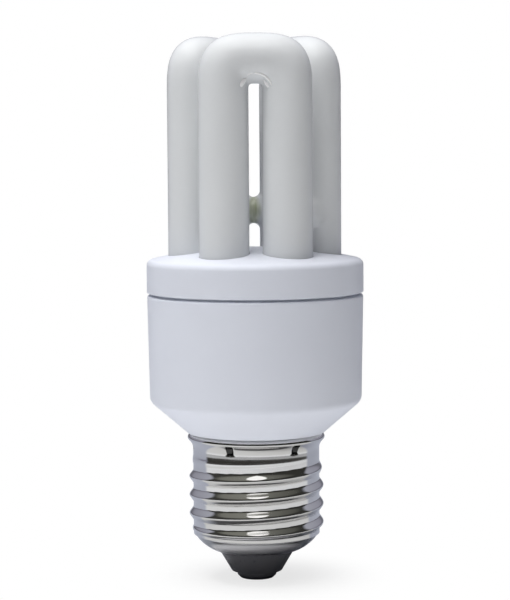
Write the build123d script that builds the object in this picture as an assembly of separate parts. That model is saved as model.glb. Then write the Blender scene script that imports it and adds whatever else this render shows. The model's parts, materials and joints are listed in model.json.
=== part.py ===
from build123d import *
import math
import os

# Compact fluorescent lamp, millimetres, +Z along the axis with the glass upward.
# The origin is the centre of the contact's end face, and -Y is the front.

# Screw cap: rolled sheet with a 27 mm knuckle thread
thread_crest_diameter = 26.2
thread_root_diameter = 24.1
thread_pitch = 3.629
thread_length = 16.2
thread_run_in = 2.4
thread_run_out = 5.0
thread_start_angle = 222.0
thread_circles_per_turn = 6
sheet = 0.35
neck_diameter = 24.6
neck_length = 1.4
flare_height = 1.1
lip_diameter = 26.7
lip_height = 1.3
shoulder_height = 3.4
shoulder_bulge = 0.55
shoulder_hole_diameter = 14.6

# Staking dents that lock the shell to the housing
stake_count = 6
stake_angle = 35.0
stake_radius = 0.7
stake_depth = 0.45
stake_height = 1.5
stake_drop = 0.2

# Black insulator and centre contact
contact_thickness = 1.4
contact_diameter = 7.6
contact_chamfer = 0.6
shank_diameter = 3.2
shank_length = 2.6
shank_bore_diameter = 1.8
solder_depth = 1.2
insulator_height = 4.0
insulator_end_diameter = 9.8
insulator_flange_diameter = 18.4
insulator_flange_height = 1.55

# Lower housing
housing_diameter = 41.9
housing_wall = 1.55
cone_bottom_diameter = 26.8
cone_height = 6.2
side_height = 20.55
side_draft = 0.38
cone_round = 2.0
rim_round = 0.3
spigot_length = 4.4
spigot_wall = 1.4
rib_count = 4
rib_angle = 10.0
rib_width = 1.6

# Tube holder on top of the housing
holder_overhang = 0.05
holder_height = 9.15
holder_wall = 1.75
holder_crown = 2.4
holder_corner = 1.3
holder_plate = 3.2
seam_gap = 0.35
seam_depth = 0.7
collar_wall = 1.35
collar_depth = 3.0
collar_rise = 2.9
latch_count = 4
latch_angle = 55.0
latch_width = 3.6
latch_height = 1.0
latch_reach = 0.45

# Glass: three bent tubes joined by two fused bridges
glass_height = 40.75
tube_diameter = 9.5
glass_wall = 0.9
leg_pitch = 12.0
leg_depth = 10.2
leg_end_round = 2.2
bend_squareness = 3.0
bend_lead = 3.0
bend_section_count = 8
bridge_diameter = 5.2
bridge_round = 1.1
bridge_bore_diameter = 3.2
bridge_rise = 6.8
press_height = 3.2
press_thickness = 2.8
press_width = 8.8
cement_depth = 2.6

# Circuit board and the wires on it
board_rise = 12.5
board_thickness = 1.2
board_seat = 1.5
lead_diameter = 0.6
lead_tail = 1.0
post_width = 0.7
post_height = 4.8
post_inset = 1.7
post_spread = 12.0
post_tail = 0.4
post_chamfer = 0.14
electrode_wire_diameter = 0.5
electrode_wire_spread = 4.4
electrode_wire_drop = 2.6
electrode_wire_bend = 1.5
supply_wire_diameter = 1.2
supply_wire_angle = 30.0
live_wire_bend = 3.0
neutral_wire_bend = 1.8

# Parts on the board
smoothing_diameter = 8.0
smoothing_length = 16.0
smoothing_drop = 3.0
smoothing_x = 3.0
smoothing_round = 0.6
smoothing_groove = 0.4
smoothing_groove_drop = 2.0
choke_width = 11.0
choke_depth = 5.0
choke_height = 10.6
choke_yoke = 2.2
choke_side_leg = 2.0
choke_middle_leg = 3.0
choke_drop = 1.6
bobbin_wall = 0.6
bobbin_flange = 0.7
bobbin_length = 11.0
toroid_diameter = 8.0
toroid_bore_diameter = 4.4
toroid_height = 3.0
toroid_round = 0.25
toroid_angle = -60.0
winding_thickness = 0.5
winding_span = 46.0
winding_tail_inset = 11.5
transistor_diameter = 4.8
transistor_height = 4.7
transistor_flat = 1.4
transistor_lead_step = 1.32
transistor_angles = (80, 40)
film_length = 8.0
film_width = 4.0
film_height = 7.5
film_round = 0.8
film_lead_spacing = 4.0
film_shift = 3.5
diode_diameter = 2.2
diode_length = 4.6
near_diode_angles = (12, -11)
far_diode_angles = (1, -20)
diode_lead_angles = (55, -70, 20, -35)
diac_diameter = 1.8
diac_length = 3.8
resistor_diameter = 2.0
resistor_length = 5.6
resistor_lead_turn = 20.0
fuse_diameter = 2.4
fuse_length = 6.4
thermistor_diameter = 4.5
thermistor_thickness = 2.5
thermistor_round = 0.6
axial_round = 0.3
lead_spacing = 2.4
part_standoff = 0.6

# Clearances
slide_fit = 0.1
close_fit = 0.05
glass_fit = 0.2
hole_fit = 0.2
board_fit = 0.4
part_gap = 0.8
wide_gap = 2.5

# Heights and radii worked out from the values above
shell_bottom = contact_thickness + insulator_height
thread_bottom = shell_bottom + shoulder_height
thread_top = thread_bottom + thread_length
flare_low = thread_top + neck_length
flare_top = flare_low + flare_height
cap_top = flare_top + lip_height
cone_top = cap_top + cone_height
seam = cone_top + side_height
crown = seam + holder_height
glass_top = crown + glass_height
leg_end = crown - leg_depth
plate_under = crown - holder_plate
board_under = cone_top + board_rise
board_top = board_under + board_thickness

neck_radius = neck_diameter / 2
spigot_radius = neck_radius - sheet - close_fit
side_top_radius = housing_diameter / 2
side_bottom_radius = side_top_radius - side_draft
cone_bottom_radius = cone_bottom_diameter / 2
inner_top_radius = side_top_radius - housing_wall
inner_bottom_radius = side_bottom_radius - housing_wall
holder_diameter = housing_diameter + 2 * holder_overhang
holder_radius = holder_diameter / 2
collar_radius = inner_top_radius - slide_fit
collar_inner_radius = collar_radius - collar_wall
holder_inner_radius = holder_radius - holder_wall
board_radius = inner_bottom_radius - board_fit
tube_radius = tube_diameter / 2
row_radius = leg_pitch * math.sqrt(3) / 2
leg_gap = leg_pitch - tube_diameter
bridge_height = crown + bridge_rise
leg_angles = [-60, 0, 60, 120, 180, 240]
bend_angles = [0, 120, 240]
electrode_angles = [180, 240]
bridge_angles = [90, 330]
winding_angles = [0, 120, 240]

ON_FLOOR = (Align.CENTER, Align.CENTER, Align.MIN)
UNDER = (Align.CENTER, Align.CENTER, Align.MAX)


def rod(x, y, low, high, diameter):
    return Pos(x, y, low) * Cylinder(diameter / 2, high - low, align=ON_FLOOR)


def around(radius, angle):
    turn = math.radians(angle)
    return Vector(radius * math.cos(turn), radius * math.sin(turn), 0)


def turned(outline, *rounds):
    section = make_face(outline)
    for corner, radius in rounds:
        section = fillet(section.vertices().sort_by_distance(corner)[0], radius)
    return revolve(Plane.XZ * section, Axis.Z)


def polygon(*points):
    return Polyline(*points, close=True)


def ease(share):
    held = min(1, max(0, share))
    return held * held * (3 - 2 * held)


# Rolled screw shell

def thread_circle(height, shrink):
    above = height - thread_bottom
    below = thread_top - height
    root = thread_root_diameter / 2
    run_out = ease(below / thread_run_out)
    base = neck_radius - (neck_radius - root) * run_out
    throw = (thread_crest_diameter / 2 - base) / 2 * ease(above / thread_run_in) * run_out
    middle = thread_bottom + thread_length / 2
    centre = around(throw, thread_start_angle + 360 * (height - middle) / thread_pitch)
    return Pos(centre.X, centre.Y, height) * Circle(base + throw - shrink)


def thread_side(shrink):
    count = math.ceil(thread_length / thread_pitch * thread_circles_per_turn)
    heights = [thread_bottom + thread_length * k / count for k in range(count + 1)]
    core = Solid.make_loft([thread_circle(z, shrink).wire() for z in heights])
    return core.faces().filter_by(GeomType.BSPLINE)[0]


def thread_wall():
    # Cut square to its axis, a knuckle thread is a circle off centre, and the centre winds up the axis
    ends = [thread_circle(z, 0).face() - thread_circle(z, sheet).face() for z in (thread_bottom, thread_top)]
    return Part(Solid(Shell([thread_side(0), thread_side(sheet)] + ends)).wrapped)


def shoulder_ring():
    low = Vector(shoulder_hole_diameter / 2, shell_bottom)
    high = Vector(thread_root_diameter / 2, thread_bottom)
    outward = Vector(1, -1).normalized()
    middle = (low + high) / 2 + outward * shoulder_bulge
    inner_low = low + Vector(0, sheet)
    inner_high = high - Vector(sheet, 0)
    outer = ThreePointArc(low, middle, high)
    inner = ThreePointArc(inner_high, middle - outward * sheet, inner_low)
    return turned(outer + Line(high, inner_high) + inner + Line(inner_low, low))


def mouth(inset):
    lip = lip_diameter / 2 - inset
    neck = neck_radius - inset
    return [(neck, thread_top), (neck, flare_low), (lip, flare_top), (lip, cap_top)]


def neck_ring():
    return turned(polygon(*mouth(0), *reversed(mouth(sheet))))


def stake_punch(grow):
    reach = neck_radius + stake_radius - stake_depth
    height = stake_height + 2 * grow
    punch = Cylinder(stake_radius + grow, height)
    middle = flare_low - stake_drop
    places = [around(reach, 270 + stake_angle + 360 * k / stake_count) for k in range(stake_count)]
    return [Pos(place.X, place.Y, middle) * punch for place in places]


def screw_shell():
    inside = turned(polygon((0, thread_top), *mouth(sheet / 2), (0, cap_top)))
    dents = [punch & inside for punch in stake_punch(sheet)]
    neck = neck_ring() + dents - stake_punch(0)
    return thread_wall() + shoulder_ring() + neck


def cap_insulator():
    end = insulator_end_diameter / 2
    hole = shoulder_hole_diameter / 2 - slide_fit
    flange = insulator_flange_diameter / 2
    bore = shank_diameter / 2 + slide_fit
    neck_top = shell_bottom + sheet + slide_fit
    flange_low = neck_top + (flange - hole) * shoulder_height / (thread_root_diameter / 2 - hole)
    top = flange_low + insulator_flange_height
    return turned(polygon(
        (bore, contact_thickness),
        (end, contact_thickness),
        (hole, shell_bottom - slide_fit),
        (hole, neck_top),
        (flange, flange_low),
        (flange, top),
        (bore, top),
    ))


def centre_contact():
    edge = contact_diameter / 2
    shank = shank_diameter / 2
    bore = shank_bore_diameter / 2
    top = contact_thickness + shank_length
    return turned(polygon(
        (bore, 0),
        (edge - contact_chamfer, 0),
        (edge, contact_chamfer),
        (edge, contact_thickness),
        (shank, contact_thickness),
        (shank, top),
        (bore, top),
    ))


def contact_solder():
    return rod(0, 0, 0, solder_depth, shank_bore_diameter - 2 * close_fit)


# Housing and tube holder

def cone_level(radius):
    slope = cone_height / (side_bottom_radius - cone_bottom_radius)
    return cap_top + (radius - cone_bottom_radius) * slope


def inner_cone_level(radius):
    run = side_bottom_radius - cone_bottom_radius
    return cone_level(radius) + housing_wall * math.hypot(run, cone_height) / run


def rib_blocks():
    inner = board_radius - board_seat
    length = side_top_radius - inner
    block = Pos(inner, 0, cap_top) * Box(
        length, rib_width, board_under - cap_top, align=(Align.MIN, Align.CENTER, Align.MIN)
    )
    return [Rot(0, 0, rib_angle + 360 * k / rib_count) * block for k in range(rib_count)]


def latch_blocks(grow):
    reach = collar_radius + latch_reach + grow
    low = seam - collar_depth + latch_height - grow
    block = Pos(reach, 0, low) * Box(
        2 * collar_wall, latch_width + 2 * grow, latch_height + 2 * grow,
        align=(Align.MAX, Align.CENTER, Align.MIN),
    )
    return [Rot(0, 0, latch_angle + 360 * k / latch_count) * block for k in range(latch_count)]


def lower_housing():
    spigot_low = cap_top - spigot_length
    bore = spigot_radius - spigot_wall
    outline = polygon(
        (0, spigot_low),
        (spigot_radius, spigot_low),
        (spigot_radius, cap_top),
        (cone_bottom_radius, cap_top),
        (side_bottom_radius, cone_top),
        (side_top_radius, seam),
        (0, seam),
    )
    cone_corner = (side_bottom_radius, cone_top)
    rim_corner = (side_top_radius, seam)
    body = turned(outline, (cone_corner, cone_round), (rim_corner, rim_round))
    hollow = turned(polygon(
        (0, spigot_low),
        (bore, spigot_low),
        (bore, inner_cone_level(bore)),
        (inner_bottom_radius, inner_cone_level(inner_bottom_radius)),
        (inner_top_radius, seam),
        (0, seam),
    ))
    return body - (hollow - rib_blocks()) - latch_blocks(slide_fit) - stake_punch(sheet + slide_fit)


def leg_holes(diameter, low, high):
    places = [around(leg_pitch, angle) for angle in leg_angles]
    return [rod(place.X, place.Y, low, high, diameter) for place in places]


def tube_holder():
    corner = crown - holder_crown
    collar_low = seam - collar_depth
    collar_high = seam + collar_rise
    seat = holder_radius - seam_depth
    skirt = Polyline(
        (holder_radius, corner),
        (holder_radius, seam + seam_gap),
        (seat, seam + seam_gap),
        (seat, seam),
        (collar_radius, seam),
        (collar_radius, collar_low),
        (collar_inner_radius, collar_low),
        (collar_inner_radius, collar_high),
        (holder_inner_radius, collar_high),
        (holder_inner_radius, plate_under),
        (0, plate_under),
        (0, crown),
    )
    crown_radius = (holder_radius ** 2 + holder_crown ** 2) / (2 * holder_crown)
    top = RadiusArc((0, crown), (holder_radius, corner), crown_radius)
    body = turned(skirt + top, ((holder_radius, corner), holder_corner))
    return body + latch_blocks(0) - leg_holes(tube_diameter + glass_fit, collar_low, glass_top)


def tube_cement():
    low = plate_under - cement_depth
    pad = rod(0, 0, low, plate_under, 2 * (holder_inner_radius - close_fit))
    return pad - leg_holes(tube_diameter + 2 * close_fit, low, plate_under)


# Glass discharge tube

def bend_reach(turn):
    half_width = leg_gap / 2 + tube_diameter
    power = bend_squareness
    spread = abs(math.cos(turn)) ** power + abs(math.sin(turn)) ** power
    return half_width / spread ** (1 / power)


def bend(shrink):
    arch = leg_gap / 2
    pivot = glass_top - arch - tube_diameter
    turns = [math.pi * k / bend_section_count for k in range(bend_section_count + 1)]
    stops = [(0, bend_lead)] + [(turn, 0) for turn in turns] + [(math.pi, bend_lead)]
    rings = []
    for turn, drop in stops:
        outward = Vector(math.cos(turn), 0, math.sin(turn))
        along = Vector(-math.sin(turn), 0, math.cos(turn))
        far = bend_reach(turn)
        middle = Vector(0, 0, pivot - drop) + outward * ((far + arch) / 2)
        ring = Ellipse((far - arch) / 2 - shrink, tube_radius - shrink)
        rings.append(Plane(origin=middle, x_dir=outward, z_dir=along) * ring)
    return Pos(0, -row_radius, 0) * loft(rings)


def bend_foot():
    return glass_top - leg_gap / 2 - tube_diameter - bend_lead


def plain_leg(shrink):
    low = leg_end + shrink
    leg = rod(leg_pitch, 0, low, bend_foot(), tube_diameter - 2 * shrink)
    end = leg.edges().filter_by(GeomType.CIRCLE).sort_by(Axis.Z)[0]
    return fillet(end, leg_end_round - shrink)


def pressed_leg():
    flat = Pos(leg_pitch, 0, leg_end) * Ellipse(press_thickness / 2, press_width / 2)
    top = leg_end + press_height
    round_end = Pos(leg_pitch, 0, top) * Circle(tube_radius)
    return loft([flat, round_end]) + rod(leg_pitch, 0, top, bend_foot(), tube_diameter)


def pressed_leg_bore():
    low = leg_end + press_height + glass_wall
    return rod(leg_pitch, 0, low, bend_foot(), tube_diameter - 2 * glass_wall)


def bridge(diameter):
    link = Pos(0, -row_radius, bridge_height) * Rot(0, 90, 0) * Cylinder(diameter / 2, leg_pitch)
    return [Rot(0, 0, angle + 90) * link for angle in bridge_angles]


def bridge_edges(body):
    middles = [around(row_radius, angle) + Vector(0, 0, bridge_height) for angle in bridge_angles]
    reach = leg_pitch / 2
    curved = body.edges().filter_by(GeomType.BSPLINE)
    return [e for e in curved if min((e.center() - middle).length for middle in middles) < reach]


def discharge_tube():
    bends = [Rot(0, 0, turn) * bend(0) for turn in bend_angles]
    bores = [Rot(0, 0, turn) * bend(glass_wall) for turn in bend_angles]
    legs = []
    leg_bores = []
    for angle in leg_angles:
        pressed = angle in electrode_angles
        leg = pressed_leg() if pressed else plain_leg(0)
        leg_bore = pressed_leg_bore() if pressed else plain_leg(glass_wall)
        legs.append(Rot(0, 0, angle) * leg)
        leg_bores.append(Rot(0, 0, angle) * leg_bore)
    body = bends[0] + bends[1:] + legs + bridge(bridge_diameter)
    body = fillet(bridge_edges(body), bridge_round)
    inside = bores[0] + bores[1:] + leg_bores + bridge(bridge_bore_diameter)
    return body - inside


# Places of the parts on the board
smoothing_radius = smoothing_diameter / 2
supply_wire_radius = supply_wire_diameter / 2
supply_reach = smoothing_radius + supply_wire_radius + part_gap
supply_x = smoothing_x - supply_reach * math.cos(math.radians(supply_wire_angle))
supply_y = supply_reach * math.sin(math.radians(supply_wire_angle))
choke_x = supply_x - supply_wire_radius - part_gap - bobbin_length / 2
film_x = choke_x + film_shift
film_y = choke_width / 2 + wide_gap + film_width / 2
resistor_x = film_x - film_length / 2 - part_gap - resistor_diameter / 2
small_x = supply_x + supply_wire_radius
small_y = supply_y + supply_wire_radius + 2 * part_gap + fuse_diameter / 2
smoothing_place = Vector(smoothing_x, 0, 0)
toroid_reach = smoothing_radius + toroid_diameter / 2 + winding_thickness + part_gap
toroid_place = smoothing_place + around(toroid_reach, toroid_angle)
transistor_reach = smoothing_radius + transistor_diameter / 2 + wide_gap
transistor_places = [smoothing_place + around(transistor_reach, angle) for angle in transistor_angles]
diode_reach = smoothing_radius + diode_diameter / 2 + wide_gap
diode_step = diode_diameter + part_gap
diac_x = film_x + film_length / 2 + 2 * part_gap + diac_diameter / 2
diac_y = -film_y - diac_diameter / 2
thermistor_x = film_x + film_length / 2 + part_gap + thermistor_diameter / 2
thermistor_y = transistor_places[0].Y + transistor_diameter / 2 + part_gap + thermistor_thickness / 2


def diode_places():
    near = [smoothing_place + around(diode_reach, angle) for angle in near_diode_angles]
    far = [smoothing_place + around(diode_reach + diode_step, angle) for angle in far_diode_angles]
    return near + far


def pair(x, y, spacing, along_y=False):
    half = spacing / 2
    step = Vector(0, half, 0) if along_y else Vector(half, 0, 0)
    return [Vector(x, y, 0) - step, Vector(x, y, 0) + step]


def leads(places, low):
    return [rod(p.X, p.Y, low, board_top + lead_tail, lead_diameter) for p in places]


def smoothing_capacitor():
    top = board_under - smoothing_drop
    can = rod(smoothing_x, 0, top - smoothing_length, top, smoothing_diameter)
    can = fillet(can.edges().filter_by(GeomType.CIRCLE), smoothing_round)
    groove = Pos(smoothing_x, 0, top - smoothing_groove_drop) * Torus(smoothing_radius, smoothing_groove)
    return can - groove + leads(pair(smoothing_x, 0, lead_spacing, True), top - lead_tail)


def choke_half(upper):
    top = board_under - choke_drop
    middle = top - choke_height / 2
    half = choke_height / 2
    window = (choke_width - 2 * choke_side_leg - choke_middle_leg) / 2
    block = Pos(choke_x, 0, middle) * Box(choke_depth, choke_width, half, align=ON_FLOOR)
    slot = Box(choke_depth, window, half - choke_yoke, align=ON_FLOOR)
    offset = (choke_middle_leg + window) / 2
    core = block - [Pos(choke_x, side * offset, middle) * slot for side in (-1, 1)]
    return core if upper else mirror(core, Plane(origin=(0, 0, middle), z_dir=(0, 0, 1)))


def choke_feet():
    x_step = bobbin_length / 2 - bobbin_flange
    y_step = choke_middle_leg / 2
    return [Vector(choke_x + sx * x_step, sy * y_step, 0) for sx in (-1, 1) for sy in (-1, 1)]


def choke_bobbin():
    middle = board_under - choke_drop - choke_height / 2
    length = choke_height - 2 * choke_yoke - 2 * close_fit
    bore_depth = choke_depth + 2 * close_fit
    bore_width = choke_middle_leg + 2 * close_fit
    tube = Box(bore_depth + 2 * bobbin_wall, bore_width + 2 * bobbin_wall, length)
    flange_width = choke_width - 2 * choke_side_leg - 2 * slide_fit
    flange = Box(bobbin_length, flange_width, bobbin_flange)
    reach = (length - bobbin_flange) / 2
    spool = tube + [Pos(0, 0, side * reach) * flange for side in (-1, 1)]
    spool = Pos(choke_x, 0, middle) * (spool - Box(bore_depth, bore_width, length))
    foot_low = middle + reach
    foot = Box(2 * bobbin_flange, choke_middle_leg / 2, board_under - slide_fit - foot_low, align=ON_FLOOR)
    hole = rod(0, 0, 0, board_under - foot_low, lead_diameter + 2 * close_fit)
    feet = [Pos(p.X, p.Y, foot_low) * (foot - hole) for p in choke_feet()]
    holes = [Pos(p.X, p.Y, foot_low) * hole for p in choke_feet()]
    return spool + feet - holes


def choke_pins():
    middle = board_under - choke_drop - choke_height / 2
    low = middle + (choke_height / 2 - choke_yoke) - bobbin_flange / 2
    pins = leads(choke_feet(), low)
    return pins[0] + pins[1:]


def choke_winding():
    middle = board_under - choke_drop - choke_height / 2
    length = choke_height - 2 * choke_yoke - 2 * bobbin_flange - 4 * close_fit
    inner_x = choke_depth + 4 * close_fit + 2 * bobbin_wall
    inner_y = choke_middle_leg + 4 * close_fit + 2 * bobbin_wall
    outer_y = choke_width - 2 * choke_side_leg - 4 * slide_fit
    thickness = (outer_y - inner_y) / 2
    corner = thickness - close_fit
    coil = extrude(RectangleRounded(inner_x + 2 * thickness, outer_y, corner), length / 2, both=True)
    return Pos(choke_x, 0, middle) * (coil - Box(inner_x, inner_y, length))


winding_tail_turns = [winding_tail_inset, winding_span - winding_tail_inset]


def toroid_middle():
    return board_under - part_standoff - winding_thickness - toroid_height / 2


def drive_toroid():
    ring = Cylinder(toroid_diameter / 2, toroid_height) - Cylinder(toroid_bore_diameter / 2, toroid_height)
    ring = fillet(ring.edges().filter_by(GeomType.CIRCLE), toroid_round)
    return Pos(toroid_place.X, toroid_place.Y, toroid_middle()) * ring


def drive_winding(angle):
    width = (toroid_diameter - toroid_bore_diameter) / 2
    reach = (toroid_diameter + toroid_bore_diameter) / 4
    grow = 2 * winding_thickness
    sleeve = Rectangle(width + grow, toroid_height + grow)
    sleeve -= Rectangle(width + 2 * close_fit, toroid_height + 2 * close_fit)
    wrap = revolve(Plane.XZ * Pos(reach, 0) * sleeve, Axis.Z, winding_span)
    wrap = Rot(0, 0, angle) * wrap
    ends = [around(reach, angle + turn) for turn in winding_tail_turns]
    low = toroid_height / 2 + winding_thickness / 2
    tail = board_top + lead_tail - toroid_middle()
    tails = [rod(p.X, p.Y, low, tail, lead_diameter) for p in ends]
    return Pos(toroid_place.X, toroid_place.Y, toroid_middle()) * (wrap + tails)


def winding_lead_places():
    reach = (toroid_diameter + toroid_bore_diameter) / 4
    turns = [angle + turn for angle in winding_angles for turn in winding_tail_turns]
    return [toroid_place + around(reach, turn) for turn in turns]


def transistor_lead_places(place):
    return [place + Vector(transistor_lead_step * k, 0, 0) for k in (-1, 0, 1)]


def transistor(place):
    top = board_under - part_standoff
    low = top - transistor_height
    body = rod(place.X, place.Y, low, top, transistor_diameter)
    cut = Pos(place.X, place.Y + transistor_flat, low) * Box(
        transistor_diameter, transistor_diameter, transistor_height,
        align=(Align.CENTER, Align.MIN, Align.MIN),
    )
    return body - cut + leads(transistor_lead_places(place), top - lead_tail)


def film_capacitor(side):
    top = board_under - part_standoff
    body = Pos(film_x, side * film_y, top) * Box(film_length, film_width, film_height, align=UNDER)
    body = fillet(body.edges(), film_round)
    return body + leads(pair(film_x, side * film_y, film_lead_spacing), top - film_width / 2)


def axial_lead_places(place, angle):
    return [place, place + around(lead_spacing, angle)]


def axial(place, diameter, length, angle):
    top = board_under - part_standoff
    body = rod(place.X, place.Y, top - length, top, diameter)
    body = fillet(body.edges().filter_by(GeomType.CIRCLE), axial_round)
    far = place + around(lead_spacing, angle)
    turn = lead_spacing / 2 - close_fit
    low = top - length - lead_spacing / 2
    route = FilletPolyline(
        (place.X, place.Y, board_top + lead_tail),
        (place.X, place.Y, low),
        (far.X, far.Y, low),
        (far.X, far.Y, board_top + lead_tail),
        radius=turn,
    )
    section = Plane(origin=route @ 0, z_dir=route % 0) * Circle(lead_diameter / 2)
    return body + sweep(section, path=route)


def starting_thermistor():
    top = board_under - part_standoff
    disc = Rot(90, 0, 0) * Cylinder(thermistor_diameter / 2, thermistor_thickness)
    disc = fillet(disc.edges().filter_by(GeomType.CIRCLE), thermistor_round)
    disc = Pos(thermistor_x, thermistor_y, top - thermistor_diameter / 2) * disc
    middle = top - thermistor_diameter / 2
    return disc + leads(pair(thermistor_x, thermistor_y, lead_spacing), middle)


# Wires

def wire(points, diameter, radius):
    route = FilletPolyline(*points, radius=radius)
    section = Plane(origin=route @ 0, z_dir=route % 0) * Circle(diameter / 2)
    return sweep(section, path=route)


def post_places():
    radius = collar_inner_radius - post_inset
    return [around(radius, angle + side * post_spread) for angle in electrode_angles for side in (-1, 1)]


def wire_post(place):
    angle = math.degrees(math.atan2(place.Y, place.X))
    length = post_tail + board_thickness + post_height
    post = Box(post_width, post_width, length, align=ON_FLOOR)
    post = chamfer(post.edges().group_by(Axis.Z)[-1], post_chamfer)
    return Pos(place.X, place.Y, board_under - post_tail) * Rot(0, 0, angle) * post


def electrode_lead(index):
    angle = electrode_angles[index // 2]
    side = -1 if index % 2 == 0 else 1
    tangent = around(1, angle + 90)
    start = around(leg_pitch, angle) + tangent * (side * electrode_wire_spread / 2)
    post = post_places()[index]
    along = (post - start).normalized()
    across = Vector(-along.Y, along.X, 0) * side
    beside = post_width * math.sqrt(0.5) + electrode_wire_diameter / 2 + close_fit
    finish = post + across * beside
    level = leg_end - electrode_wire_drop
    points = [
        (start.X, start.Y, leg_end),
        (start.X, start.Y, level),
        (finish.X, finish.Y, level),
    ]
    return wire(points, electrode_wire_diameter, electrode_wire_bend)


def live_lead():
    points = [
        (supply_x, -supply_y, board_top + lead_tail),
        (supply_x, -supply_y, cap_top - spigot_length - supply_wire_diameter),
        (0, 0, thread_bottom + thread_length / 4),
        (0, 0, solder_depth),
    ]
    return wire(points, supply_wire_diameter, live_wire_bend)


def neutral_lead():
    touch = thread_root_diameter / 2 - sheet - slide_fit - supply_wire_radius
    outward = Vector(supply_x, supply_y, 0).normalized()
    finish = outward * touch
    bend_level = cap_top - spigot_length - supply_wire_diameter
    points = [
        (supply_x, supply_y, board_top + lead_tail),
        (supply_x, supply_y, bend_level),
        (finish.X, finish.Y, bend_level - supply_wire_diameter),
        (finish.X, finish.Y, thread_bottom + thread_length / 4),
    ]
    return wire(points, supply_wire_diameter, neutral_wire_bend)


def circuit_board():
    places = pair(smoothing_x, 0, lead_spacing, True)
    for side in (-1, 1):
        places += pair(film_x, side * film_y, film_lead_spacing)
    places += pair(thermistor_x, thermistor_y, lead_spacing) + choke_feet() + winding_lead_places()
    for place in transistor_places:
        places += transistor_lead_places(place)
    for name, place, diameter, length, angle in axial_parts():
        places += axial_lead_places(place, angle)
    board = rod(0, 0, board_under, board_top, 2 * board_radius)
    holes = [rod(p.X, p.Y, board_under, board_top, lead_diameter + hole_fit) for p in places]
    post_hole = post_width * math.sqrt(2) + hole_fit
    holes += [rod(p.X, p.Y, board_under, board_top, post_hole) for p in post_places()]
    supply_hole = supply_wire_diameter + hole_fit
    holes += [rod(supply_x, side * supply_y, board_under, board_top, supply_hole) for side in (-1, 1)]
    return board - holes


def axial_parts():
    rows = []
    for number, place in enumerate(diode_places()):
        angle = diode_lead_angles[number]
        rows.append((f"rectifier_diode_{number + 1}", place, diode_diameter, diode_length, angle))
    rows.append(("trigger_diac", Vector(diac_x, diac_y, 0), diac_diameter, diac_length, 0))
    for number, side in enumerate((1, -1)):
        place = Vector(resistor_x, side * film_y, 0)
        angle = 180 + side * resistor_lead_turn
        rows.append((f"base_resistor_{number + 1}", place, resistor_diameter, resistor_length, angle))
    rows.append(("start_resistor", Vector(small_x, -small_y, 0), resistor_diameter, resistor_length, 0))
    rows.append(("fuse_resistor", Vector(small_x, small_y, 0), fuse_diameter, fuse_length, 0))
    return rows


def all_nodes():
    nodes = {
        "discharge_tube": discharge_tube(),
        "tube_holder": tube_holder(),
        "tube_cement": tube_cement(),
        "lower_housing": lower_housing(),
        "screw_shell": screw_shell(),
        "cap_insulator": cap_insulator(),
        "centre_contact": centre_contact(),
        "contact_solder": contact_solder(),
        "circuit_board": circuit_board(),
        "choke_core_upper": choke_half(True),
        "choke_core_lower": choke_half(False),
        "choke_bobbin": choke_bobbin(),
        "choke_pins": choke_pins(),
        "choke_winding": choke_winding(),
        "smoothing_capacitor": smoothing_capacitor(),
        "drive_toroid": drive_toroid(),
        "resonant_capacitor": film_capacitor(-1),
        "blocking_capacitor": film_capacitor(1),
        "starting_thermistor": starting_thermistor(),
        "live_lead": live_lead(),
        "neutral_lead": neutral_lead(),
    }
    for number, angle in enumerate(winding_angles):
        nodes[f"drive_winding_{number + 1}"] = drive_winding(angle)
    for number, place in enumerate(transistor_places):
        nodes[f"transistor_{number + 1}"] = transistor(place)
    for name, place, diameter, length, angle in axial_parts():
        nodes[name] = axial(place, diameter, length, angle)
    for number, place in enumerate(post_places()):
        nodes[f"wire_post_{number + 1}"] = wire_post(place)
        nodes[f"electrode_lead_{number + 1}"] = electrode_lead(number)
    return nodes


os.makedirs("parts", exist_ok=True)
for node_name, shape in all_nodes().items():
    export_step(shape, f"parts/{node_name}.step")
    print(node_name, round(shape.volume, 2))
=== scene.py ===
# %% [markdown]
# This lesson dresses a compact fluorescent lamp: three bent glass tubes with a white coating inside,
# a white moulded holder and housing, and a nickel-plated screw cap with a black glass end.
# The CAD model is loaded first and stays as the frame. Each visible piece is then made again as a
# clean mesh in the same place, with a finish that is drawn by nodes.

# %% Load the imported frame
import json
import math

import bmesh
import bpy
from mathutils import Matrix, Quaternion, Vector


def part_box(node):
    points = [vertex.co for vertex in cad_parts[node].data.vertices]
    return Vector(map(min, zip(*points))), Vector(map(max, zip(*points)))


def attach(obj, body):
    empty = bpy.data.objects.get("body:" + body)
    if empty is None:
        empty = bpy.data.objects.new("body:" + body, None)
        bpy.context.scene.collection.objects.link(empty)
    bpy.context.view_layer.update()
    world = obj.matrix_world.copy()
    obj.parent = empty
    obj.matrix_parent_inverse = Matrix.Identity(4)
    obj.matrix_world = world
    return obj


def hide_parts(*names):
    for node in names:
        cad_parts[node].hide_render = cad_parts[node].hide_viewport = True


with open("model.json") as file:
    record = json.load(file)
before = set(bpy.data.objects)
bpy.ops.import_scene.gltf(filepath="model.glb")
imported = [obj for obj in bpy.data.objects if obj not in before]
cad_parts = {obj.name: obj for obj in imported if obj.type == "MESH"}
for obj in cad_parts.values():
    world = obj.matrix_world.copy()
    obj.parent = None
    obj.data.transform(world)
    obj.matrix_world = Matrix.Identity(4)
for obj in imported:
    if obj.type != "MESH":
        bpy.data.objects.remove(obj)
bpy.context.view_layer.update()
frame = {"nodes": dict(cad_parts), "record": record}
mm = 0.001
print("CAD nodes:", len(frame["nodes"]))

# %% [markdown]
# Blender works in metres here. The heights that pieces share are read from the CAD nodes' boxes, so
# a new piece meets its neighbours exactly where the solids did. The smaller sizes are named below.

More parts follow.
